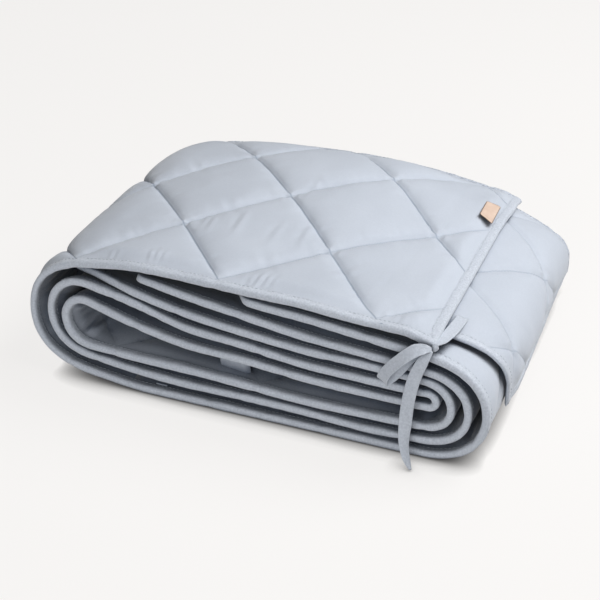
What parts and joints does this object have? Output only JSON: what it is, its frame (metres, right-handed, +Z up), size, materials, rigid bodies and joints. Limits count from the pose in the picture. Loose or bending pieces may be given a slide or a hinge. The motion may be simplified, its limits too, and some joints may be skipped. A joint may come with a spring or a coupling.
{
  "type": "crib bumper",
  "caption": "Long quilted crib bumper strip with bound edges, folded into a flat stack and held with a tape bow at one front corner.",
  "frame": {"origin": "middle of the footprint, on the surface the folded stack rests on", "axes": "+X along the folded stack towards the hanging end, +Y from the tied front edges to the back, +Z up"},
  "size_m": [0.4001, 0.3224, 0.1256],
  "materials": {
    "quilted_cloth": "matte woven cotton",
    "binding_tape": "matte woven cotton",
    "tan_tag": "soft matte"
  },
  "bodies": {
    "root": {"strip": "quilted_cloth", "binding_front": "binding_tape", "binding_back": "binding_tape", "binding_end_top": "binding_tape", "binding_end_side": "binding_tape", "tie_knot": "binding_tape", "tie_loop": "binding_tape", "tie_tail": "binding_tape", "tie_end": "binding_tape", "tie_inner": "binding_tape", "tie_lower": "binding_tape", "tag": "tan_tag"}
  },
  "joints": []
}
